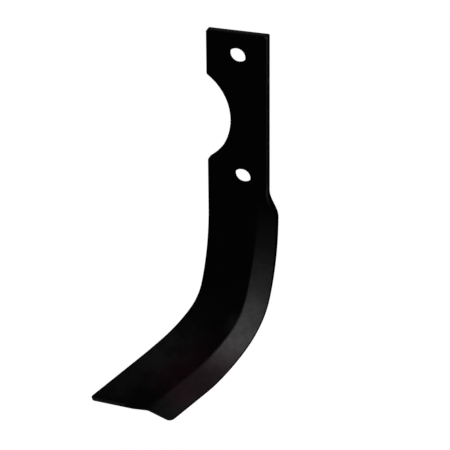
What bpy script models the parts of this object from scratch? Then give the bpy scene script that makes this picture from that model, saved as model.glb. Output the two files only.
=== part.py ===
"""Rotary tiller blade: one forged flat bar, swept, bevelled and bent sideways.

The blade is drawn flat first, the way its blank is made, and then folded:
a loft runs down the bar along its inner edge, the tube notch, the bolt holes
and the end are cut through it, its edges are rounded, and the lower part is
bent toward the front about a slanting line.

Frame: the origin is halfway between the two bolt holes, on the back face that
seats on the rotor's flange. +X runs across the bar to its cutting edge, +Y
leaves the back face, and +Z runs up the shank. The rotor's axis is parallel
to Y. Lengths are in metres.
"""

import math

import bmesh
import bpy
from mathutils import Vector

MM = 0.001

# Flat bar that the blade is forged from
BAR_WIDTH = 50.0 * MM
BAR_THICKNESS = 8.0 * MM

# Bolting end: two holes, and a notch that clears the rotor's tube
HOLE_DIAMETER = 14.0 * MM
HOLE_PITCH = 104.0 * MM
LOWER_HOLE_OFFSET = 3.75 * MM
TOP_MARGIN = 19.25 * MM
TUBE_DIAMETER = 88.9 * MM
TUBE_CLEARANCE = 1.0 * MM
ROTOR_AXIS_X = -52.75 * MM
ROTOR_AXIS_Z = -2.9 * MM
NECK_INSET = 0.4 * MM

# Sweep of the inner edge: straight shank, then three arcs and a straight tip
SHANK_LENGTH = 153.7 * MM
EASE_RADIUS = 376.0 * MM
EASE_TURN = math.radians(10.7)
KNEE_RADIUS = 81.2 * MM
KNEE_TURN = math.radians(22.7)
TIP_RADIUS = 185.0 * MM
TIP_TURN = math.radians(10.4)
INNER_EDGE_LENGTH = 366.8 * MM

# Forged bevel along the outer edge
BLADE_WIDTH_TOP = 56.9 * MM
BLADE_WIDTH_TIP = 57.4 * MM
BEVEL_WIDTH_TOP = 16.6 * MM
BEVEL_WIDTH_TIP = 21.1 * MM
CUTTING_EDGE = 1.5 * MM
SHOULDER_DROP = 135.4 * MM
SHOULDER_LENGTH = 22.0 * MM
RUNOUT_LENGTH = 100.0 * MM
RUNOUT_FLARE = 20.0 * MM
RUNOUT_WIDTH = 3.0 * MM

# End cut: a sheared slope, a short flat, and the lip that the forging pushed out
SHEAR_SLOPE = math.radians(5.3)
SHEAR_LENGTH = 36.7 * MM
FLAT_LENGTH = 11.2 * MM
LIP_BLEND_RADIUS = 8.0 * MM
LIP_SLOPE = math.radians(20.0)
TIP_CORNER_RADIUS = 2.0 * MM
LIP_CORNER_RADIUS = 6.5 * MM
TOP_CORNER_RADIUS = 1.0 * MM

# Side bend toward the front
FOLD_ANGLE = math.radians(45.0)
FOLD_RADIUS = 75.0 * MM
FOLD_DROP = 249.6 * MM
FOLD_SLANT = math.radians(16.0)

# Finish of the edges, and how finely the shape is drawn
EDGE_RADIUS = 0.6 * MM
EDGE_SEGMENTS = 2
CORNER_SEGMENTS = 4
BLEND_STEPS = 4
STATION_STEP = 4.0 * MM
SHOULDER_STEPS = 10
FOLD_STEPS = 12
HOLE_SEGMENTS = 48
NOTCH_SEGMENTS = 160
SHARP_EDGE = math.radians(50.0)
CORNER_EDGE = math.radians(35.0)
SHADING_ANGLE = math.radians(14.0)
WELD = 0.05 * MM
SNAP = 0.001 * MM

# Places that follow from the sizes above
TOP_Z = HOLE_PITCH / 2 + TOP_MARGIN
UPPER_HOLE_X = -LOWER_HOLE_OFFSET / 2
LOWER_HOLE_X = LOWER_HOLE_OFFSET / 2
BAR_LEFT = UPPER_HOLE_X - BAR_WIDTH / 2
NOTCH_RADIUS = TUBE_DIAMETER / 2 + TUBE_CLEARANCE
NOTCH_HALF_MOUTH = math.sqrt(NOTCH_RADIUS ** 2 - (BAR_LEFT - ROTOR_AXIS_X) ** 2)
NECK_START = TOP_Z - ROTOR_AXIS_Z - NOTCH_HALF_MOUTH / 2
NECK_END = TOP_Z - ROTOR_AXIS_Z + NOTCH_HALF_MOUTH / 2
SWEEP_ARCS = ((EASE_RADIUS, EASE_TURN), (KNEE_RADIUS, KNEE_TURN), (TIP_RADIUS, TIP_TURN))
CUTTER_OVERRUN = 2 * BAR_THICKNESS


def smooth_step(value):
    """Eased 0 to 1 as value goes from 0 to 1."""
    t = min(max(value, 0.0), 1.0)
    return t * t * (3 - 2 * t)


def mix(first, second, share):
    """The value that lies the given share of the way from first to second."""
    return first + (second - first) * share


def neck_inset(drop):
    """How far the inner edge stands in from the bar's: it grows beside the notch, out of sight."""
    share = (drop - NECK_START) / (NECK_END - NECK_START)
    return NECK_INSET * min(max(share, 0.0), 1.0)


def inner_edge(drop):
    """Place (x, z) and heading of the inner edge, a distance along it from the top.

    The heading is the edge's angle from straight down, positive toward -X."""
    x = BAR_LEFT + neck_inset(drop)
    if drop <= SHANK_LENGTH:
        return x, TOP_Z - drop, 0.0
    z = TOP_Z - SHANK_LENGTH
    heading = 0.0
    rest = drop - SHANK_LENGTH
    for radius, turn in SWEEP_ARCS:
        length = min(rest, radius * turn)
        new_heading = heading + length / radius
        x += radius * (math.cos(new_heading) - math.cos(heading))
        z -= radius * (math.sin(new_heading) - math.sin(heading))
        heading = new_heading
        rest -= length
    return x - rest * math.sin(heading), z - rest * math.cos(heading), heading


def section(drop):
    """Five corners of the bar's section, across the inner edge at this distance along it."""
    x, z, heading = inner_edge(drop)
    along_blade = (drop - SHOULDER_DROP) / (INNER_EDGE_LENGTH - SHOULDER_DROP)
    shoulder = smooth_step((drop - SHOULDER_DROP) / SHOULDER_LENGTH)
    flare = smooth_step((drop - SHOULDER_DROP) / RUNOUT_FLARE)
    runout = smooth_step((drop - SHOULDER_DROP) / RUNOUT_LENGTH)
    bar_width = BAR_WIDTH - neck_inset(drop)
    width = mix(bar_width, mix(BLADE_WIDTH_TOP, BLADE_WIDTH_TIP, along_blade), shoulder)
    bevel = mix(RUNOUT_WIDTH, mix(BEVEL_WIDTH_TOP, BEVEL_WIDTH_TIP, along_blade), flare)
    depth = (BAR_THICKNESS - CUTTING_EDGE) * runout
    front = -BAR_THICKNESS
    across = ((0.0, 0.0), (0.0, front), (width - bevel, front), (width, front + depth), (width, 0.0))
    return [(x + u * math.cos(heading), y, z - u * math.sin(heading)) for u, y in across]


def stations():
    """Distances along the inner edge at which the loft has a section."""
    drops = [0.0, NECK_START, NECK_END]
    drops += [SHOULDER_DROP + SHOULDER_LENGTH * i / SHOULDER_STEPS for i in range(SHOULDER_STEPS)]
    first = SHOULDER_DROP + SHOULDER_LENGTH
    last = SHANK_LENGTH + sum(radius * turn for radius, turn in SWEEP_ARCS)
    count = round((last - first) / STATION_STEP)
    drops += [mix(first, last, i / count) for i in range(count + 1)]
    return drops + [INNER_EDGE_LENGTH + 2 * BAR_WIDTH]


def link(name, mesh, collection):
    """Puts a mesh into the scene as an object of the given name."""
    item = bpy.data.objects.new(name, mesh)
    collection.objects.link(item)
    return item


def loft_blank(collection):
    """The flat blank, over-long at the tip: one skin through all the sections."""
    bm = bmesh.new()
    rings = [[bm.verts.new(corner) for corner in section(drop)] for drop in stations()]
    corners = len(rings[0])
    for upper, lower in zip(rings[:-1], rings[1:]):
        for i in range(corners):
            j = (i + 1) % corners
            bm.faces.new((upper[i], upper[j], lower[j], lower[i]))
    bm.faces.new(rings[0])
    bm.faces.new(reversed(rings[-1]))
    bmesh.ops.recalc_face_normals(bm, faces=bm.faces)
    mesh = bpy.data.meshes.new("tiller_blade")
    bm.to_mesh(mesh)
    bm.free()
    return link("tiller_blade", mesh, collection)


def round_cutter(name, radius, x, z, segments, collection):
    """A cylinder along Y that cuts right through the bar."""
    bpy.ops.mesh.primitive_cylinder_add(
        vertices=segments, radius=radius, depth=BAR_THICKNESS + CUTTER_OVERRUN,
        location=(x, -BAR_THICKNESS / 2, z), rotation=(math.pi / 2, 0, 0))
    return as_cutter(bpy.context.object, name, collection)


def end_cutter(collection):
    """The block that trims the tip: its upper side is the outline of the end."""
    tip_x, tip_z, _ = inner_edge(INNER_EDGE_LENGTH)
    shear_z = tip_z - SHEAR_LENGTH * math.tan(SHEAR_SLOPE)
    blend_x = tip_x + SHEAR_LENGTH + FLAT_LENGTH
    blend_z = shear_z - LIP_BLEND_RADIUS
    turns = [LIP_SLOPE * i / BLEND_STEPS for i in range(BLEND_STEPS + 1)]
    blend = [(blend_x + LIP_BLEND_RADIUS * math.sin(a), blend_z + LIP_BLEND_RADIUS * math.cos(a)) for a in turns]
    lip_x, lip_z = blend[-1]
    reach = 2 * BAR_WIDTH
    outline = [
        (tip_x - reach, tip_z + reach * math.tan(SHEAR_SLOPE)),
        (tip_x + SHEAR_LENGTH, shear_z),
        *blend,
        (lip_x + reach, lip_z - reach * math.tan(LIP_SLOPE)),
        (lip_x + reach, tip_z - 2 * reach),
        (tip_x - reach, tip_z - 2 * reach),
    ]
    curve = bpy.data.curves.new("end_outline", "CURVE")
    curve.dimensions = "2D"
    curve.fill_mode = "BOTH"
    curve.extrude = (BAR_THICKNESS + CUTTER_OVERRUN) / 2
    spline = curve.splines.new("POLY")
    spline.points.add(len(outline) - 1)
    for point, (x, z) in zip(spline.points, outline):
        point.co = (x, z, 0, 1)
    spline.use_cyclic_u = True
    flat = bpy.data.objects.new("end_outline", curve)
    collection.objects.link(flat)
    flat.rotation_euler = (math.pi / 2, 0, 0)
    flat.location = (0, -BAR_THICKNESS / 2, 0)
    bpy.context.view_layer.update()
    solid = mesh_of(flat)
    place = flat.matrix_world.copy()
    bm = bmesh.new()
    bm.from_mesh(solid)
    bmesh.ops.remove_doubles(bm, verts=bm.verts, dist=WELD)
    bmesh.ops.recalc_face_normals(bm, faces=bm.faces)
    bm.to_mesh(solid)
    bm.free()
    bpy.data.objects.remove(flat)
    cutter = link("end_cutter", solid, collection)
    cutter.matrix_world = place
    return as_cutter(cutter, "end_cutter", collection)


def as_cutter(item, name, collection):
    """Names a cutting tool and keeps it out of the model."""
    item.name = name
    for owner in item.users_collection:
        owner.objects.unlink(item)
    collection.objects.link(item)
    item.hide_render = True
    item.display_type = "WIRE"
    return item


def mesh_of(item):
    """A mesh of the object as it is evaluated."""
    return bpy.data.meshes.new_from_object(item.evaluated_get(bpy.context.evaluated_depsgraph_get()))


def settle(item):
    """Makes the object's modifiers part of its mesh."""
    bpy.context.view_layer.update()
    solid = mesh_of(item)
    item.modifiers.clear()
    item.data = solid


def cut(item, cutter):
    """Cuts the cutter's shape out of the item."""
    boolean = item.modifiers.new(cutter.name, "BOOLEAN")
    boolean.operation = "DIFFERENCE"
    boolean.solver = "EXACT"
    boolean.object = cutter


def round_corners(item):
    """Rounds the plan's corners: the two at the top, the tip and the lip."""
    tip_x, tip_z, _ = inner_edge(INNER_EDGE_LENGTH)
    end_z = tip_z + BAR_THICKNESS
    lip_x = tip_x + SHEAR_LENGTH + FLAT_LENGTH + LIP_CORNER_RADIUS
    bm = bmesh.new()
    bm.from_mesh(item.data)
    for radius, is_here in (
            (TOP_CORNER_RADIUS, lambda p: p.z > TOP_Z - EDGE_RADIUS),
            (TIP_CORNER_RADIUS, lambda p: p.z < end_z and p.x < tip_x + BAR_THICKNESS),
            (LIP_CORNER_RADIUS, lambda p: p.z < end_z and p.x > lip_x)):
        for edge in list(bm.edges):
            if not edge.is_valid or edge.calc_face_angle(0.0) < CORNER_EDGE:
                continue
            first, second = (vert.co for vert in edge.verts)
            across_bar = (first.xz - second.xz).length < WELD
            if across_bar and is_here(first):
                tangent = radius * math.tan(edge.calc_face_angle() / 2)
                bmesh.ops.bevel(bm, geom=[edge], offset=tangent, offset_type="OFFSET",
                                segments=CORNER_SEGMENTS, profile=0.5, affect="EDGES")
    bm.to_mesh(item.data)
    bm.free()


def soften_edges(item):
    """Rounds every sharp edge. The forged bevel's ridge is blunter than that and stays."""
    bevel = item.modifiers.new("soft_edges", "BEVEL")
    bevel.limit_method = "ANGLE"
    bevel.angle_limit = SHARP_EDGE
    bevel.width = EDGE_RADIUS
    bevel.segments = EDGE_SEGMENTS
    bevel.use_clamp_overlap = False


def fold_frame():
    """Start point of the fold line, and the directions along it and across it, down the blade."""
    start = Vector((BAR_LEFT, 0.0, TOP_Z - FOLD_DROP))
    along = Vector((math.cos(FOLD_SLANT), 0.0, -math.sin(FOLD_SLANT)))
    across = Vector((-math.sin(FOLD_SLANT), 0.0, -math.cos(FOLD_SLANT)))
    return start, along, across


def fold(item):
    """Bends what lies past the fold line toward the front, round a cylinder that stands along it.

    Lines are cut along the fold first, so that the skin can follow the curve between them."""
    start, along, across = fold_frame()
    bm = bmesh.new()
    bm.from_mesh(item.data)
    for i in range(FOLD_STEPS + 1):
        point = start + across * (FOLD_RADIUS * FOLD_ANGLE * i / FOLD_STEPS)
        geometry = list(bm.verts) + list(bm.edges) + list(bm.faces)
        bmesh.ops.bisect_plane(bm, geom=geometry, dist=SNAP, plane_co=point, plane_no=across)
    for vert in bm.verts:
        past = (vert.co - start).dot(across)
        if past <= 0:
            continue
        angle = min(past / FOLD_RADIUS, FOLD_ANGLE)
        straight = past - angle * FOLD_RADIUS
        radius = FOLD_RADIUS + BAR_THICKNESS + vert.co.y
        side = radius * math.sin(angle) + straight * math.cos(angle)
        y = radius * math.cos(angle) - straight * math.sin(angle) - FOLD_RADIUS - BAR_THICKNESS
        place = start + along * (vert.co - start).dot(along) + across * side
        vert.co = (place.x, y, place.z)
    bmesh.ops.remove_doubles(bm, verts=bm.verts, dist=WELD)
    bm.to_mesh(item.data)
    bm.free()


def black_paint():
    """Thin black dip paint over forged steel."""
    material = bpy.data.materials.new("black_paint")
    material.use_nodes = True
    shader = material.node_tree.nodes["Principled BSDF"]
    shader.inputs["Base Color"].default_value = (0.012, 0.012, 0.013, 1.0)
    shader.inputs["Roughness"].default_value = 0.45
    shader.inputs["Metallic"].default_value = 0.0
    return material


for old in list(bpy.data.objects):
    bpy.data.objects.remove(old)

blade_parts = bpy.data.collections.new("rotary_tiller_blade")
cutters = bpy.data.collections.new("cutters")
bpy.context.scene.collection.children.link(blade_parts)
bpy.context.scene.collection.children.link(cutters)

blade = loft_blank(blade_parts)
cut(blade, round_cutter("notch_cutter", NOTCH_RADIUS, ROTOR_AXIS_X, ROTOR_AXIS_Z, NOTCH_SEGMENTS, cutters))
for hole_name, hole_x, hole_z in (("upper_hole_cutter", UPPER_HOLE_X, HOLE_PITCH / 2),
                                  ("lower_hole_cutter", LOWER_HOLE_X, -HOLE_PITCH / 2)):
    cut(blade, round_cutter(hole_name, HOLE_DIAMETER / 2, hole_x, hole_z, HOLE_SEGMENTS, cutters))
cut(blade, end_cutter(cutters))
settle(blade)
round_corners(blade)
soften_edges(blade)
settle(blade)
fold(blade)

blade.data.materials.clear()
blade.data.materials.append(black_paint())
blade.data.shade_smooth()
blade.data.set_sharp_from_angle(angle=SHADING_ANGLE)
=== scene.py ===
"""Rotary tiller blade, as photographed: matte black, hanging free over a pale floor."""

import math

import bmesh
import bpy
import numpy as np
from mathutils import Matrix, Vector


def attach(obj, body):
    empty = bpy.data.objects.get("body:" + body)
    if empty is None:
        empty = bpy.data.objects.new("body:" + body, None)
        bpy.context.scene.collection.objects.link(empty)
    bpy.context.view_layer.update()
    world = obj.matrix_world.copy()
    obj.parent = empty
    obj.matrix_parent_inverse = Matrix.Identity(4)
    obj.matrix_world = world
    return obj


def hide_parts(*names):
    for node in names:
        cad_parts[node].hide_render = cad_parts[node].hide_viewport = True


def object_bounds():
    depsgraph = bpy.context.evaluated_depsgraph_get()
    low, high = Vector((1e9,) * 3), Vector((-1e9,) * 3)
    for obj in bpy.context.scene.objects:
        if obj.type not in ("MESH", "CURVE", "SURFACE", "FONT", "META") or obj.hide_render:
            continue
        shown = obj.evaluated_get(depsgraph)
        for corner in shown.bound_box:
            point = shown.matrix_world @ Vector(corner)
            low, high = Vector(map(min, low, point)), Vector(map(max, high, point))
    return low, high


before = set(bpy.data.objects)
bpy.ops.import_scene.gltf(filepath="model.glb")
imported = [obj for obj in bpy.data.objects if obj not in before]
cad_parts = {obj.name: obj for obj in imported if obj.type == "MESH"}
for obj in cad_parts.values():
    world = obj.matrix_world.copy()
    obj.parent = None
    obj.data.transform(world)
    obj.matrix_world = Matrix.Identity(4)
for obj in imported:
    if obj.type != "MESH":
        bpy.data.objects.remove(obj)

cad_box = [list(corner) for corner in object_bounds()]

# The photographer's camera
# A long lens looks down on the blade's front from a little to its right. The frame is square,
# and the blade fills most of its height.
MM = 0.001
CAMERA_TURN = math.radians(17.456)
CAMERA_DROP = math.radians(27.723)
CAMERA_ROLL = math.radians(-0.516)
CAMERA_DISTANCE = 2065.85 * MM
CAMERA_LENS = 205.47
SENSOR_WIDTH = 36.0
LOOKED_AT = Vector((-12.38, -8.0, -96.97)) * MM


def link(name, data):
    """Puts a mesh, a lamp or a lens into the scene as an object of the given name."""
    item = bpy.data.objects.new(name, data)
    bpy.context.scene.collection.objects.link(item)
    return item


ahead = Vector((-math.sin(CAMERA_TURN) * math.cos(CAMERA_DROP),
                math.cos(CAMERA_TURN) * math.cos(CAMERA_DROP),
                -math.sin(CAMERA_DROP)))
level = Vector((math.cos(CAMERA_TURN), math.sin(CAMERA_TURN), 0.0))
upright = level.cross(ahead)
camera_right = level * math.cos(CAMERA_ROLL) + upright * math.sin(CAMERA_ROLL)
camera_up = upright * math.cos(CAMERA_ROLL) - level * math.sin(CAMERA_ROLL)
lens = bpy.data.cameras.new("camera")
lens.lens = CAMERA_LENS
lens.sensor_width = SENSOR_WIDTH
camera = link("camera", lens)
camera.matrix_world = Matrix.Translation(LOOKED_AT - ahead * CAMERA_DISTANCE) @ Matrix(
    (camera_right, camera_up, -ahead)).transposed().to_4x4()
bpy.context.scene.camera = camera

# The forged blade: the flat bar's own sizes
# The real blade is one length of spring steel flat bar. It is sheared, swept and bevelled hot,
# punched for its bolts, notched for the rotor's tube, and last of all bent to the side.
BAR_WIDTH = 50.0 * MM
BAR_THICKNESS = 8.0 * MM
HOLE_PITCH = 104.0 * MM
LOWER_HOLE_OFFSET = 3.75 * MM
TOP_MARGIN = 19.25 * MM
TUBE_DIAMETER = 88.9 * MM
TUBE_CLEARANCE = 1.0 * MM
ROTOR_AXIS_X = -52.75 * MM
ROTOR_AXIS_Z = -2.9 * MM
TOP_Z = HOLE_PITCH / 2 + TOP_MARGIN
BAR_LEFT = -LOWER_HOLE_OFFSET / 2 - BAR_WIDTH / 2
NOTCH_RADIUS = TUBE_DIAMETER / 2 + TUBE_CLEARANCE
NOTCH_HALF_MOUTH = math.sqrt(NOTCH_RADIUS ** 2 - (BAR_LEFT - ROTOR_AXIS_X) ** 2)

# The sweep of its inner edge
# The smith bends the bar edgewise in three stages, so that the blade slices into the soil.
SHANK_LENGTH = 153.7 * MM
SWEEP_ARCS = (
    (376.0 * MM, math.radians(10.7)),
    (81.2 * MM, math.radians(22.7)),
    (185.0 * MM, math.radians(10.4)),
)
INNER_EDGE_LENGTH = 366.8 * MM
NECK_INSET = 0.4 * MM
NECK_START = TOP_Z - ROTOR_AXIS_Z - NOTCH_HALF_MOUTH / 2
NECK_END = TOP_Z - ROTOR_AXIS_Z + NOTCH_HALF_MOUTH / 2


def neck_inset(drop):
    """How far the inner edge stands in from the bar's: it grows beside the notch, out of sight."""
    share = (drop - NECK_START) / (NECK_END - NECK_START)
    return NECK_INSET * min(max(share, 0.0), 1.0)


def inner_edge(drop):
    """Place (x, z) and heading of the inner edge, a distance along it from the top."""
    x = BAR_LEFT + neck_inset(drop)
    if drop <= SHANK_LENGTH:
        return x, TOP_Z - drop, 0.0
    z = TOP_Z - SHANK_LENGTH
    heading = 0.0
    rest = drop - SHANK_LENGTH
    for radius, turn in SWEEP_ARCS:
        length = min(rest, radius * turn)
        new_heading = heading + length / radius
        x += radius * (math.cos(new_heading) - math.cos(heading))
        z -= radius * (math.sin(new_heading) - math.sin(heading))
        heading = new_heading
        rest -= length
    return x - rest * math.sin(heading), z - rest * math.cos(heading), heading


# The forged bevel along its outer edge
# Rollers squeeze the hot edge thin. The metal they push aside widens the bar below a shoulder,
# and the bevel deepens slowly below it. Its ridge is crisp, but soft at both of its ends.
BLADE_WIDTH_TOP = 56.9 * MM
BLADE_WIDTH_TIP = 57.4 * MM
BEVEL_WIDTH_TOP = 16.6 * MM
BEVEL_WIDTH_TIP = 21.1 * MM
CUTTING_EDGE = 1.5 * MM
SHOULDER_DROP = 135.4 * MM
SHOULDER_LENGTH = 22.0 * MM
RUNOUT_LENGTH = 100.0 * MM
RUNOUT_FLARE = 20.0 * MM
RUNOUT_WIDTH = 3.0 * MM
RIDGE_SOFT_RUNOUT = 5.0 * MM
RIDGE_CRISP_DROP = 195.0 * MM
RIDGE_CRISP = 1.2 * MM
RIDGE_SOFT_DROP = 245.0 * MM
RIDGE_SOFT = 2.2 * MM
RIDGE_END_DROP = 314.0 * MM
RIDGE_END_FLARE = 0.25
BEVEL_TO_ROUND = 3.0
BAR_ROUND = 1.5 * MM
CUTTING_ROUND = 0.55 * MM
ROUND_STEPS = 4
STATION_STEP = 2.0 * MM
OVERRUN = 8.0 * MM


def smooth_step(value):
    """Eased 0 to 1 as value goes from 0 to 1."""
    share = min(max(value, 0.0), 1.0)
    return share * share * (3 - 2 * share)


def mix(first, second, share):
    """The value that lies the given share of the way from first to second."""
    return first + (second - first) * share


def blade_width(drop):
    """The blade's whole width across its inner edge."""
    along = (drop - SHOULDER_DROP) / (INNER_EDGE_LENGTH - SHOULDER_DROP)
    forged = mix(BLADE_WIDTH_TOP, BLADE_WIDTH_TIP, along)
    bar = BAR_WIDTH - neck_inset(drop)
    return mix(bar, forged, smooth_step((drop - SHOULDER_DROP) / SHOULDER_LENGTH))


def bevel_width(drop):
    """How wide the bevel is."""
    along = (drop - SHOULDER_DROP) / (INNER_EDGE_LENGTH - SHOULDER_DROP)
    rolled = mix(BEVEL_WIDTH_TOP, BEVEL_WIDTH_TIP, along)
    return mix(RUNOUT_WIDTH, rolled, smooth_step((drop - SHOULDER_DROP) / RUNOUT_FLARE))


def bevel_depth(drop):
    """How deep the bevel is at the outer edge."""
    return (BAR_THICKNESS - CUTTING_EDGE) * smooth_step((drop - SHOULDER_DROP) / RUNOUT_LENGTH)


def ridge_softness(drop):
    """How far the ridge's round reaches each way: at most a third of the bevel until the ridge's end."""
    crisp = smooth_step((drop - SHOULDER_DROP) / (RIDGE_CRISP_DROP - SHOULDER_DROP))
    softer = smooth_step((drop - RIDGE_CRISP_DROP) / (RIDGE_SOFT_DROP - RIDGE_CRISP_DROP))
    soft = mix(RIDGE_SOFT_RUNOUT, RIDGE_CRISP, crisp)
    soft += (RIDGE_SOFT - RIDGE_CRISP) * softer
    soft += RIDGE_END_FLARE * max(drop - RIDGE_END_DROP, 0.0)
    whole = bevel_width(drop)
    return min(soft, whole / BEVEL_TO_ROUND if drop < RIDGE_END_DROP else whole)


def rounded(before, corner, after, reach):
    """Points of a round that leaves the corner's two sides at the given distance from it."""
    corner = Vector(corner)
    first = corner + (Vector(before) - corner).normalized() * reach
    second = corner + (Vector(after) - corner).normalized() * reach
    points = []
    for i in range(ROUND_STEPS + 1):
        share = i / ROUND_STEPS
        points.append(first * (1 - share) ** 2 + corner * 2 * share * (1 - share) + second * share ** 2)
    return points


def section(drop):
    """Outline of the section across the inner edge at this distance along it."""
    x, z, heading = inner_edge(drop)
    width = blade_width(drop)
    depth = bevel_depth(drop)
    outer_round = mix(BAR_ROUND, CUTTING_ROUND, depth / (BAR_THICKNESS - CUTTING_EDGE))
    front = -BAR_THICKNESS
    ridge = width - bevel_width(drop)
    corners = ((0.0, 0.0), (0.0, front), (ridge, front), (width, front + depth), (width, 0.0))
    reaches = (BAR_ROUND, BAR_ROUND, ridge_softness(drop), outer_round, outer_round)
    outline = []
    for i, reach in enumerate(reaches):
        outline += rounded(corners[i - 1], corners[i], corners[(i + 1) % len(corners)], reach)
    return [(x + across * math.cos(heading), y, z - across * math.sin(heading))
            for across, y in outline]


def stations():
    """Distances along the inner edge at which the skin has a section."""
    count = round((RIDGE_END_DROP - SHOULDER_DROP) / STATION_STEP)
    forged = [mix(SHOULDER_DROP, RIDGE_END_DROP, i / count) for i in range(count + 1)]
    return [-OVERRUN, NECK_START, NECK_END, *forged, INNER_EDGE_LENGTH + OVERRUN]


skin = bmesh.new()
rings = [[skin.verts.new(corner) for corner in section(drop)] for drop in stations()]
for upper, lower in zip(rings[:-1], rings[1:]):
    for i in range(len(upper)):
        j = (i + 1) % len(upper)
        skin.faces.new((upper[i], upper[j], lower[j], lower[i]))
skin.faces.new(rings[0])
skin.faces.new(reversed(rings[-1]))
bmesh.ops.recalc_face_normals(skin, faces=skin.faces)
blank_mesh = bpy.data.meshes.new("forged_blade")
skin.to_mesh(blank_mesh)
skin.free()
blade = link("forged_blade", blank_mesh)

# The notch, the bolt holes and both ends, cut through the flat blank
# A press punches the holes and bites the notch out. Shears trim the two ends, and the lip below
# the bevel is metal that the rolling pushed past the shear's line. The lip's corner is a wide round.
HOLE_DIAMETER = 14.0 * MM
NOTCH_SEGMENTS = 320
HOLE_SEGMENTS = 96
SHEAR_SLOPE = math.radians(5.3)
SHEAR_LENGTH = 36.7 * MM
FLAT_LENGTH = 11.2 * MM
LIP_BLEND_RADIUS = 8.0 * MM
LIP_SLOPE = math.radians(20.0)
TOP_CORNER_RADIUS = 1.0 * MM
TIP_CORNER_RADIUS = 2.0 * MM
LIP_CORNER_RADIUS = 6.5 * MM
CORNER_STEPS = 8
CUTTER_DEPTH = 3 * BAR_THICKNESS
CUTTER_REACH = 100.0 * MM


def prism(name, outline):
    """A closed block with the given outline in the bar's plane, through the whole bar."""
    block = bmesh.new()
    near = [block.verts.new((x, -BAR_THICKNESS / 2 - CUTTER_DEPTH / 2, z)) for x, z in outline]
    block.faces.new(near)
    grown = bmesh.ops.extrude_face_region(block, geom=list(block.faces))["geom"]
    far = [item for item in grown if isinstance(item, bmesh.types.BMVert)]
    bmesh.ops.translate(block, verts=far, vec=(0.0, CUTTER_DEPTH, 0.0))
    bmesh.ops.recalc_face_normals(block, faces=block.faces)
    mesh = bpy.data.meshes.new(name)
    block.to_mesh(mesh)
    block.free()
    return link(name, mesh)


def circle(radius, x, z, segments):
    """Points of a circle in the bar's plane."""
    angles = [math.tau * i / segments for i in range(segments)]
    return [(x + radius * math.cos(angle), z + radius * math.sin(angle)) for angle in angles]


def way(angle):
    """Direction in the bar's plane, turned up from +X."""
    return Vector((math.cos(angle), math.sin(angle)))


def turn_corner(corner, way_in, way_out, radius):
    """Points of the arc that rounds the corner between two ways through it."""
    turn = way_in.angle(way_out)
    inward = math.copysign(1.0, way_in.cross(way_out)) * Vector((-way_in.y, way_in.x))
    start = corner - way_in * radius * math.tan(turn / 2)
    angles = [turn * i / CORNER_STEPS for i in range(CORNER_STEPS + 1)]
    return [start + radius * (way_in * math.sin(angle) + inward * (1 - math.cos(angle)))
            for angle in angles]


def end_cutter(name, path, far_z):
    """Cuts off what lies beyond a path across the bar, which starts and ends on the bar's sides."""
    first = path[0] + (path[0] - path[1]).normalized() * BAR_THICKNESS
    last = path[-1] + (path[-1] - path[-2]).normalized() * BAR_THICKNESS
    far_left = first.x - CUTTER_REACH
    far_right = last.x + CUTTER_REACH
    around = ((far_right, last.y), (far_right, far_z), (far_left, far_z), (far_left, first.y))
    return prism(name, [first, *path, last, *around])


def settle(item):
    """Makes the object's modifiers part of its mesh."""
    evaluated = item.evaluated_get(bpy.context.evaluated_depsgraph_get())
    solid = bpy.data.meshes.new_from_object(evaluated)
    item.modifiers.clear()
    item.data = solid


tip_x, tip_z, tip_heading = inner_edge(INNER_EDGE_LENGTH)
tip = Vector((tip_x, tip_z))
inner_way = way(-math.pi / 2 - tip_heading)
shear_end = tip + SHEAR_LENGTH * Vector((1.0, -math.tan(SHEAR_SLOPE)))
lip_way = way(-LIP_SLOPE)
lip_start = shear_end + (FLAT_LENGTH + LIP_BLEND_RADIUS * math.tan(LIP_SLOPE / 2)) * way(0.0)
cutting_edge = [Vector(inner_edge(drop)[:2]) + blade_width(drop) * way(-tip_heading)
                for drop in (RIDGE_END_DROP, INNER_EDGE_LENGTH)]
edge_way = (cutting_edge[0] - cutting_edge[1]).normalized()
lip_length = (cutting_edge[0] - lip_start).cross(edge_way) / lip_way.cross(edge_way)
lip_end = lip_start + lip_length * lip_way
end_path = [
    *turn_corner(tip, inner_way, way(-SHEAR_SLOPE), TIP_CORNER_RADIUS),
    shear_end,
    *turn_corner(lip_start, way(0.0), lip_way, LIP_BLEND_RADIUS),
    *turn_corner(lip_end, lip_way, edge_way, LIP_CORNER_RADIUS)]
top_left = Vector((BAR_LEFT, TOP_Z))
top_right = Vector((BAR_LEFT + BAR_WIDTH, TOP_Z))
top_path = [
    *turn_corner(top_left, way(math.pi / 2), way(0.0), TOP_CORNER_RADIUS),
    *turn_corner(top_right, way(0.0), way(-math.pi / 2), TOP_CORNER_RADIUS)]
notch = circle(NOTCH_RADIUS, ROTOR_AXIS_X, ROTOR_AXIS_Z, NOTCH_SEGMENTS)
upper_hole = circle(HOLE_DIAMETER / 2, -LOWER_HOLE_OFFSET / 2, HOLE_PITCH / 2, HOLE_SEGMENTS)
lower_hole = circle(HOLE_DIAMETER / 2, LOWER_HOLE_OFFSET / 2, -HOLE_PITCH / 2, HOLE_SEGMENTS)
cutters = [
    prism("notch_cutter", notch),
    prism("upper_hole_cutter", upper_hole),
    prism("lower_hole_cutter", lower_hole),
    end_cutter("tip_cutter", end_path, tip_z - CUTTER_REACH),
    end_cutter("top_cutter", top_path, TOP_Z + CUTTER_REACH),
]
for cutter in cutters:
    boolean = blade.modifiers.new(cutter.name, "BOOLEAN")
    boolean.operation = "DIFFERENCE"
    boolean.solver = "EXACT"
    boolean.object = cutter
settle(blade)
for cutter in cutters:
    bpy.data.objects.remove(cutter)

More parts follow.
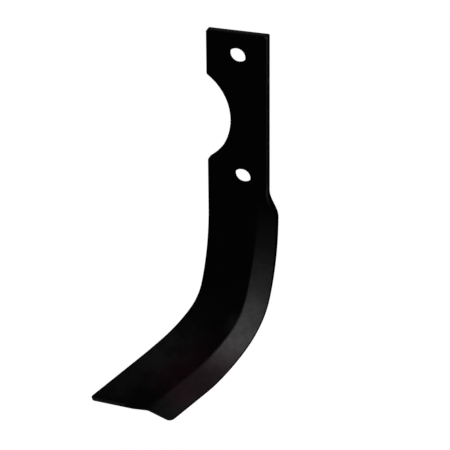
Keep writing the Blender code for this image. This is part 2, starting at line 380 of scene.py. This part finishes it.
# Its cut edges, eased as punching, shearing and tumbling leave them
# Only the edges that were cut through the steel are still sharp: the rolled ones are round already.
CUT_EDGE_RADIUS = 0.6 * MM
CUT_EDGE_SEGMENTS = 3
SHARP_EDGE = math.radians(50.0)

bevel = blade.modifiers.new("eased_edges", "BEVEL")
bevel.limit_method = "ANGLE"
bevel.angle_limit = SHARP_EDGE
bevel.width = CUT_EDGE_RADIUS
bevel.segments = CUT_EDGE_SEGMENTS
bevel.use_clamp_overlap = False
settle(blade)

# Its side bend
# The finished flat blade is pressed over a round former, along a line that slants across it.
# Each point keeps its place on the flat blank, so that the finish follows the steel.
FOLD_ANGLE = math.radians(45.0)
FOLD_RADIUS = 75.0 * MM
FOLD_DROP = 249.6 * MM
FOLD_SLANT = math.radians(16.0)
FOLD_STEPS = 24
SNAP = 0.001 * MM
WELD = 0.02 * MM
TRACE_STEP = 0.25 * MM
TRACE_REACH = 2 * BAR_WIDTH
NEVER_NEAREST = 1.0
SHADING_ANGLE = math.radians(40.0)
FLAT_WEIGHT = 100

fold_start = Vector((BAR_LEFT, 0.0, TOP_Z - FOLD_DROP))
fold_along = Vector((math.cos(FOLD_SLANT), 0.0, -math.sin(FOLD_SLANT)))
fold_across = Vector((-math.sin(FOLD_SLANT), 0.0, -math.cos(FOLD_SLANT)))
sliced = bmesh.new()
sliced.from_mesh(blade.data)
for i in range(FOLD_STEPS + 1):
    point = fold_start + fold_across * (FOLD_RADIUS * FOLD_ANGLE * i / FOLD_STEPS)
    geometry = list(sliced.verts) + list(sliced.edges) + list(sliced.faces)
    bmesh.ops.bisect_plane(sliced, geom=geometry, dist=SNAP, plane_co=point, plane_no=fold_across)
bmesh.ops.remove_doubles(sliced, verts=sliced.verts, dist=WELD)
sliced.to_mesh(blade.data)
sliced.free()

drops = np.arange(0.0, INNER_EDGE_LENGTH + TRACE_REACH, TRACE_STEP)
trace_x, trace_z, trace_heading = np.array([inner_edge(drop) for drop in drops]).T
trace_width = np.array([blade_width(drop) for drop in drops])
trace_ridge = trace_width - np.array([bevel_width(drop) for drop in drops])
trace_soft = np.array([ridge_softness(drop) for drop in drops])
steel = blade.data
flat_place = steel.attributes.new("flat_place", "FLOAT_VECTOR", "POINT")
run_place = steel.attributes.new("run_place", "FLOAT_VECTOR", "POINT")
for vert in steel.vertices:
    x, y, z = vert.co
    # the section that holds this point is the one that it neither leads nor trails
    lead = np.abs((x - trace_x) * np.sin(trace_heading) + (z - trace_z) * np.cos(trace_heading))
    out = (x - trace_x) * np.cos(trace_heading) - (z - trace_z) * np.sin(trace_heading)
    lead[(out < -BAR_THICKNESS) | (out > TRACE_REACH)] = NEVER_NEAREST
    nearest = int(np.argmin(lead))
    past_ridge = (out[nearest] - trace_ridge[nearest]) / trace_soft[nearest]
    flat_place.data[vert.index].vector = (x, y, z)
    from_edge = trace_width[nearest] - out[nearest]
    run_place.data[vert.index].vector = (drops[nearest], min(max(past_ridge, -1.0), 1.0), from_edge)
    past = (vert.co - fold_start).dot(fold_across)
    if past > 0:
        angle = min(past / FOLD_RADIUS, FOLD_ANGLE)
        straight = past - angle * FOLD_RADIUS
        radius = FOLD_RADIUS + BAR_THICKNESS + y
        reach = radius * math.sin(angle) + straight * math.cos(angle)
        swing = radius * math.cos(angle) - straight * math.sin(angle) - FOLD_RADIUS - BAR_THICKNESS
        place = fold_start + fold_along * (vert.co - fold_start).dot(fold_along) + fold_across * reach
        vert.co = (place.x, swing, place.z)
    vert.co = [min(max(value, low), high) for value, low, high in zip(vert.co, *cad_box)]
steel.shade_smooth()
steel.set_sharp_from_angle(angle=SHADING_ANGLE)
weighted = blade.modifiers.new("even_flats", "WEIGHTED_NORMAL")
weighted.keep_sharp = True
weighted.weight = FLAT_WEIGHT
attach(blade, "root")
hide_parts("tiller_blade")

# Its finish: thin matte black paint over forging scale
# The flats are dead matt, and coloured lighter from the bend on as painted light for the bent part that
# faces up. The bevel was rolled last, so its paint lies on smoother steel: it is satin, most of all in
# the bend, and less so at both ends.
MIX_FACTOR = 0
MIX_FIRST_COLOUR = 6
MIX_SECOND_COLOUR = 7
MIX_COLOUR_OUT = 2


class Value:
    """A number that varies over the surface: Python's arithmetic on it adds Math nodes."""

    def __init__(self, nodes, socket):
        self.nodes = nodes
        self.socket = socket

    def math(self, operation, first, second):
        return self.nodes.node("ShaderNodeMath", {"operation": operation}, {0: first, 1: second})

    def __add__(self, other):
        return self.math("ADD", self, other)

    def __sub__(self, other):
        return self.math("SUBTRACT", self, other)

    def __rsub__(self, other):
        return self.math("SUBTRACT", other, self)

    def __mul__(self, other):
        return self.math("MULTIPLY", self, other)

    __radd__ = __add__
    __rmul__ = __mul__


class Nodes:
    """The nodes of a material or of the world."""

    def __init__(self, owner):
        owner.use_nodes = True
        self.tree = owner.node_tree
        self.tree.nodes.clear()

    def node(self, kind, settings=None, sockets=None, output=0):
        """Adds a node of a type, applies its settings, fills its sockets and gives one output."""
        made = self.tree.nodes.new(kind)
        for name, value in (settings or {}).items():
            setattr(made, name, value)
        for name, value in (sockets or {}).items():
            socket = made.inputs[name]
            if isinstance(value, Value):
                self.tree.links.new(value.socket, socket)
            else:
                socket.default_value = value
        return Value(self, made.outputs[output]) if made.outputs else None

    def ramp(self, value, low, high, low_result=0.0, high_result=1.0):
        """Smooth change of a number as value goes from low to high."""
        return self.node("ShaderNodeMapRange", {"interpolation_type": "SMOOTHSTEP"}, {
            "Value": value, "From Min": low, "From Max": high,
            "To Min": low_result, "To Max": high_result})

    def blend(self, share, first, second):
        """Colour between two others."""
        return self.node("ShaderNodeMix", {"data_type": "RGBA"}, {
            MIX_FACTOR: share, MIX_FIRST_COLOUR: first, MIX_SECOND_COLOUR: second}, MIX_COLOUR_OUT)

    def blend_shaders(self, share, first, second):
        """Shader between two others."""
        return self.node("ShaderNodeMixShader", {}, {0: share, 1: first, 2: second})

    def noise(self, place, size, detail=3.0, roughness=0.5):
        """Noise whose blotches are about the given size in metres."""
        return self.node("ShaderNodeTexNoise", {}, {
            "Vector": place, "Scale": 1.0 / size, "Detail": detail, "Roughness": roughness})

    def parts(self, place):
        """The three numbers of a place."""
        return [self.node("ShaderNodeSeparateXYZ", {}, {"Vector": place}, output=name) for name in "XYZ"]


# Places on the flat blank: along is the distance down the inner edge, from_edge the distance from the
# outer edge, above_shear the distance from the sheared end, and past_ridge goes from -1 on the flat
# to 1 on the bevel
steel_paint = bpy.data.materials.new("forged_black_paint")
paint = Nodes(steel_paint)
flat = paint.node("ShaderNodeAttribute", {"attribute_name": "flat_place"}, output="Vector")
run = paint.node("ShaderNodeAttribute", {"attribute_name": "run_place"}, output="Vector")
along, past_ridge, from_edge = paint.parts(run)
side, depth, height = paint.parts(flat)
above_shear = side * math.sin(SHEAR_SLOPE) + height * math.cos(SHEAR_SLOPE) - (
    tip_x * math.sin(SHEAR_SLOPE) + tip_z * math.cos(SHEAR_SLOPE))

# Relief: lumps from the forging, scale, and the paint's fine peel. Patches and smudges change only
# the shine and the colour.
LUMP_SIZE = 9.0 * MM
LUMP_RELIEF = 0.15
SCALE_SIZE = 1.6 * MM
SCALE_RELIEF = 0.05
PEEL_SIZE = 0.45 * MM
PEEL_RELIEF = 0.012
RELIEF = 1.0 * MM
PATCH_SIZE = 13.0 * MM
SMUDGE_SIZE = 5.0 * MM
NOISE_MIDDLE = 0.5

lumps = paint.noise(flat, LUMP_SIZE)
scale = paint.noise(flat, SCALE_SIZE, detail=4.0)
peel = paint.noise(flat, PEEL_SIZE, detail=2.0)
patches = paint.noise(flat, PATCH_SIZE, detail=5.0, roughness=0.6)
smudges = paint.noise(flat, SMUDGE_SIZE, detail=3.0, roughness=0.6)
bump = paint.node("ShaderNodeBump", {}, {
    "Strength": 1.0, "Distance": RELIEF,
    "Height": lumps * LUMP_RELIEF + scale * SCALE_RELIEF + peel * PEEL_RELIEF})

# Where the paint is satin: each change says where it starts and ends, and then its value at both,
# which is 0 and 1 if it doesn't say
PAST_RIDGE = (-0.3, 1.0)
OFF_THE_BACK = (-1.2 * MM, -0.8 * MM, 1.0, 0.0)
OFF_THE_EDGE = (0.5 * MM, 1.4 * MM)
SATIN_RUNOUT = (SHOULDER_DROP, 180.0 * MM, 0.0, 0.06)
SATIN_SWEEP = (176.0 * MM, 230.0 * MM, 0.0, 0.28)
SATIN_BEND = (214.0 * MM, 244.0 * MM, 0.0, 0.60)
SATIN_PAST_BEND = (242.0 * MM, 292.0 * MM, 1.0, 0.32)
SATIN_END = (280.0 * MM, 340.0 * MM, 1.0, 0.55)
SATIN_PATCHES = (0.35, 0.65, 0.88, 1.08)
SATIN_SMUDGES = (0.34, 0.66, 0.90, 1.09)
SATIN_SCALE = 0.10
TIP_GLEAM = (290.0 * MM, 306.0 * MM, 0.0, 0.30)
TIP_GLEAM_FROM_EDGE = (3.0 * MM, 15.0 * MM, 1.0, 0.0)

on_bevel = paint.ramp(past_ridge, *PAST_RIDGE) * paint.ramp(depth, *OFF_THE_BACK)
off_edge = paint.ramp(from_edge, *OFF_THE_EDGE)
satin_rise = (paint.ramp(along, *SATIN_RUNOUT)
              + paint.ramp(along, *SATIN_SWEEP)
              + paint.ramp(along, *SATIN_BEND))
satin_fall = paint.ramp(along, *SATIN_PAST_BEND) * paint.ramp(along, *SATIN_END)
near_tip = paint.ramp(along, *TIP_GLEAM) * paint.ramp(from_edge, *TIP_GLEAM_FROM_EDGE)
uneven = (paint.ramp(patches, *SATIN_PATCHES) * paint.ramp(smudges, *SATIN_SMUDGES)
          + SATIN_SCALE * (scale - NOISE_MIDDLE) + near_tip)

# The shank's rolled outer edge gleams a little, most of all at the top and at the shoulder
ON_SHANK = (SHOULDER_DROP, SHOULDER_DROP + 12.0 * MM, 1.0, 0.0)
ROUND_START = (-7.97 * MM, -7.8 * MM)
ROUND_END = (-7.2 * MM, -6.6 * MM, 1.0, 0.0)
BESIDE_EDGE = (1.4 * MM, 2.2 * MM, 1.0, 0.0)
EDGE_GLEAM = 0.08
EDGE_GLEAM_TOP = (25.0 * MM, 55.0 * MM, 0.14, 0.0)
EDGE_GLEAM_SHOULDER = (124.0 * MM, 136.0 * MM, 0.0, 0.28)
EDGE_GLEAM_SPREAD = 0.2

on_shank = paint.ramp(along, *ON_SHANK)
edge_round = paint.ramp(depth, *ROUND_START) * paint.ramp(depth, *ROUND_END)
beside_edge = paint.ramp(from_edge, *BESIDE_EDGE)
edge_gleam = (EDGE_GLEAM + paint.ramp(along, *EDGE_GLEAM_TOP)
              + paint.ramp(along, *EDGE_GLEAM_SHOULDER) + EDGE_GLEAM_SPREAD * lumps)
satin_share = on_bevel * (
    off_edge * satin_rise * satin_fall * uneven + on_shank * edge_round * beside_edge * edge_gleam)

# The flats: from the bend on they are coloured lighter, a little less toward the end, as painted light
# for the bent part that faces up, but for darker patches at random. They are reddish beside the ridge.
# Above the shear they are painted shade, with a painted highlight along part of its edge.
SHANK_PAINT = (0.0005, 0.0005, 0.0005, 1.0)
LIT_INNER_PAINT = (0.0033, 0.0032, 0.0032, 1.0)
LIT_INNER_PAINT_END = (0.0022, 0.0021, 0.0021, 1.0)
RIDGE_PAINT = (0.0030, 0.0013, 0.0017, 1.0)
RIDGE_PAINT_END = (0.0007, 0.0006, 0.0006, 1.0)
BEND_START = (225.0 * MM, 245.0 * MM, 0.0, 0.15)
BEND_END = (246.0 * MM, 300.0 * MM, 0.0, 0.85)
LAST_PART = (300.0 * MM, 330.0 * MM)
RIDGE_BAND = (22.0 * MM, 50.0 * MM, 1.0, 0.0)
RIDGE_BAND_SPREAD = 20.0 * MM
DARK_PATCHES = (0.42, 0.66, 0.0, 0.45)
SHEAR_PAINTED_SHADE = (2.5 * MM, 8.0 * MM, 0.65, 0.0)
SHEAR_HIGHLIGHT = (1.3 * MM, 2.0 * MM, 1.0, 0.0)
SHEAR_HIGHLIGHT_END = (shear_end.x - 9.0 * MM, shear_end.x - 3.0 * MM, 1.0, 0.0)

# painted light: past the bend the flats are coloured lighter, less so toward the end, for the light that
# the up-turned part catches
bent = paint.ramp(along, *BEND_START) + paint.ramp(along, *BEND_END)
last = paint.ramp(along, *LAST_PART)
beside_ridge = paint.ramp(from_edge + RIDGE_BAND_SPREAD * (lumps - NOISE_MIDDLE), *RIDGE_BAND)
dark_patches = paint.ramp(patches, *DARK_PATCHES)
# painted shade: the flat is coloured darker just above the sheared end
shear_painted_shade = paint.ramp(above_shear, *SHEAR_PAINTED_SHADE)
# painted highlight: a lighter line along part of the shear's edge
shear_highlight = paint.ramp(above_shear, *SHEAR_HIGHLIGHT) * paint.ramp(side, *SHEAR_HIGHLIGHT_END)
inner_colour = paint.blend(last, LIT_INNER_PAINT, LIT_INNER_PAINT_END)
ridge_colour = paint.blend(last, RIDGE_PAINT, RIDGE_PAINT_END)
tip_colour = paint.blend(beside_ridge, inner_colour, ridge_colour)
tip_colour = paint.blend(dark_patches, tip_colour, SHANK_PAINT)
tip_colour = paint.blend(shear_painted_shade, tip_colour, SHANK_PAINT)
tip_colour = paint.blend(shear_highlight, tip_colour, LIT_INNER_PAINT)

# A lit strip painted on the flat beside the ridge in the bend, and painted highlights on the sheared
# top, which faces the light from above, and on its corner
TOP_HIGHLIGHT_PAINT = (0.0085, 0.0082, 0.0082, 1.0)
LIT_STRIP = (22.0 * MM, 29.0 * MM, 0.5, 0.0)
LIT_STRIP_START = (234.0 * MM, 243.0 * MM)
LIT_STRIP_END = (243.0 * MM, 260.0 * MM, 1.0, 0.0)
SHEARED_TOP = (TOP_Z - 1.0 * MM, TOP_Z - 0.3 * MM)
SHEARED_THROUGH = (-8.0 * MM, -1.5 * MM)
HIGHLIGHT_CORNER = (2.0 * MM, 2.9 * MM, 1.0, 0.0)
HIGHLIGHT_FRONT = (-7.0 * MM, -6.0 * MM, 1.0, 0.0)

by_the_ridge = paint.ramp(from_edge, *LIT_STRIP) * (
    paint.ramp(along, *LIT_STRIP_START) * paint.ramp(along, *LIT_STRIP_END))
# painted highlight: the top face is coloured lighter, for the light that falls on it from above
sheared = paint.ramp(height, *SHEARED_TOP) * paint.ramp(depth, *SHEARED_THROUGH)
# painted highlight: the top corner is coloured lighter, a gleam where the top meets the outer edge
corner_highlight = paint.ramp(from_edge + along, *HIGHLIGHT_CORNER) * paint.ramp(depth, *HIGHLIGHT_FRONT)
flat_colour = paint.blend(bent, SHANK_PAINT, tip_colour)
flat_colour = paint.blend(by_the_ridge, flat_colour, LIT_INNER_PAINT)
flat_colour = paint.blend(sheared, flat_colour, TOP_HIGHLIGHT_PAINT)
flat_colour = paint.blend(corner_highlight, flat_colour, TOP_HIGHLIGHT_PAINT)

# The two paints: matt on the flats, and satin on the bevel, where it is reddish in the bend. The gloss
# is how much light each of them mirrors.
BEVEL_PAINT = (0.0008, 0.0008, 0.0008, 1.0)
BEVEL_PAINT_BEND = (0.0045, 0.0010, 0.0020, 1.0)
BEVEL_BEND = (240.0 * MM, 270.0 * MM)
FLAT_GLOSS = 0.0005
FLAT_ROUGHNESS = 0.55
FLAT_ROUGHNESS_SPREAD = 0.2
BEVEL_GLOSS = 0.134
BEVEL_ROUGHNESS = 0.44
BEVEL_ROUGHNESS_SPREAD = 0.12

bevel_colour = paint.blend(paint.ramp(along, *BEVEL_BEND), BEVEL_PAINT,
                           paint.blend(last, BEVEL_PAINT_BEND, BEVEL_PAINT))
matt = paint.node("ShaderNodeBsdfPrincipled", {}, {
    "Base Color": flat_colour, "Roughness": FLAT_ROUGHNESS + FLAT_ROUGHNESS_SPREAD * lumps,
    "Specular IOR Level": FLAT_GLOSS, "Normal": bump})
satin = paint.node("ShaderNodeBsdfPrincipled", {}, {
    "Base Color": bevel_colour, "Roughness": BEVEL_ROUGHNESS + BEVEL_ROUGHNESS_SPREAD * scale,
    "Specular IOR Level": BEVEL_GLOSS, "Normal": bump})
paint.node("ShaderNodeOutputMaterial", {}, {"Surface": paint.blend_shaders(satin_share, matt, satin)})
blade.data.materials.clear()
blade.data.materials.append(steel_paint)

# The floor
# A pale sheet well below the blade, so that the shadow falls outside the photo. The camera, gloss
# and glass see it as plain white.
FLOOR_Z = -0.62
FLOOR_SIZE = 14.0
FLOOR_PALE = (0.8, 0.8, 0.8, 1.0)
WHITE = (1.0, 1.0, 1.0, 1.0)


def shown_white(nodes, otherwise, white):
    """The white shader for rays from the camera, gloss and glass, and the other one for light."""
    camera_ray = nodes.node("ShaderNodeLightPath", output="Is Camera Ray")
    glossy_ray = nodes.node("ShaderNodeLightPath", output="Is Glossy Ray")
    glass_ray = nodes.node("ShaderNodeLightPath", output="Is Transmission Ray")
    return nodes.blend_shaders(camera_ray + glossy_ray + glass_ray, otherwise, white)


floor_shape = bmesh.new()
bmesh.ops.create_grid(floor_shape, x_segments=1, y_segments=1, size=FLOOR_SIZE / 2)
floor_mesh = bpy.data.meshes.new("floor")
floor_shape.to_mesh(floor_mesh)
floor_shape.free()
floor = link("floor", floor_mesh)
floor.location = (0.0, 0.0, FLOOR_Z)
pale_sheet = bpy.data.materials.new("pale_sheet")
pale = Nodes(pale_sheet)
pale.node("ShaderNodeOutputMaterial", {}, {"Surface": shown_white(
    pale,
    pale.node("ShaderNodeBsdfDiffuse", {}, {"Color": FLOOR_PALE}),
    pale.node("ShaderNodeEmission", {}, {"Color": WHITE, "Strength": 1.0}))})
floor_mesh.materials.append(pale_sheet)

# The light
# One wide soft box hangs overhead. A tall strip box stands low in front, and the bevel mirrors it.
# The room adds a little light from all round, and looks plain white.
BLADE_MIDDLE = Vector((-20.0, -20.0, -170.0)) * MM
OVERHEAD_PLACE = (0.1, -0.5, 1.7)
OVERHEAD_SIZE = 1.4
OVERHEAD_POWER = 34.0
STRIP_TURN = math.radians(13.3)
STRIP_DROP = math.radians(28.1)
STRIP_DISTANCE = 0.70
STRIP_WIDTH = 0.10
STRIP_HEIGHT = 0.72
STRIP_POWER = 10.1
ROOM_LIGHT = 0.25


def softbox(name, place, width, height, power):
    """A rectangular area light that faces the blade."""
    lamp = bpy.data.lights.new(name, "AREA")
    lamp.shape = "RECTANGLE"
    lamp.size = width
    lamp.size_y = height
    lamp.energy = power
    item = link(name, lamp)
    item.location = place
    item.rotation_euler = (BLADE_MIDDLE - item.location).to_track_quat("-Z", "Y").to_euler()


softbox("overhead", OVERHEAD_PLACE, OVERHEAD_SIZE, OVERHEAD_SIZE, OVERHEAD_POWER)
toward_strip = Vector((math.sin(STRIP_TURN) * math.cos(STRIP_DROP),
                       -math.cos(STRIP_TURN) * math.cos(STRIP_DROP),
                       -math.sin(STRIP_DROP)))
strip_place = BLADE_MIDDLE + STRIP_DISTANCE * toward_strip
softbox("strip", strip_place, STRIP_WIDTH, STRIP_HEIGHT, STRIP_POWER)

studio = bpy.data.worlds.new("studio")
bpy.context.scene.world = studio
room = Nodes(studio)
room.node("ShaderNodeOutputWorld", {}, {"Surface": shown_white(
    room,
    room.node("ShaderNodeBackground", {}, {"Color": WHITE, "Strength": ROOM_LIGHT}),
    room.node("ShaderNodeBackground", {}, {"Color": WHITE, "Strength": 1.0}))})
bpy.context.scene.view_settings.view_transform = "Standard"
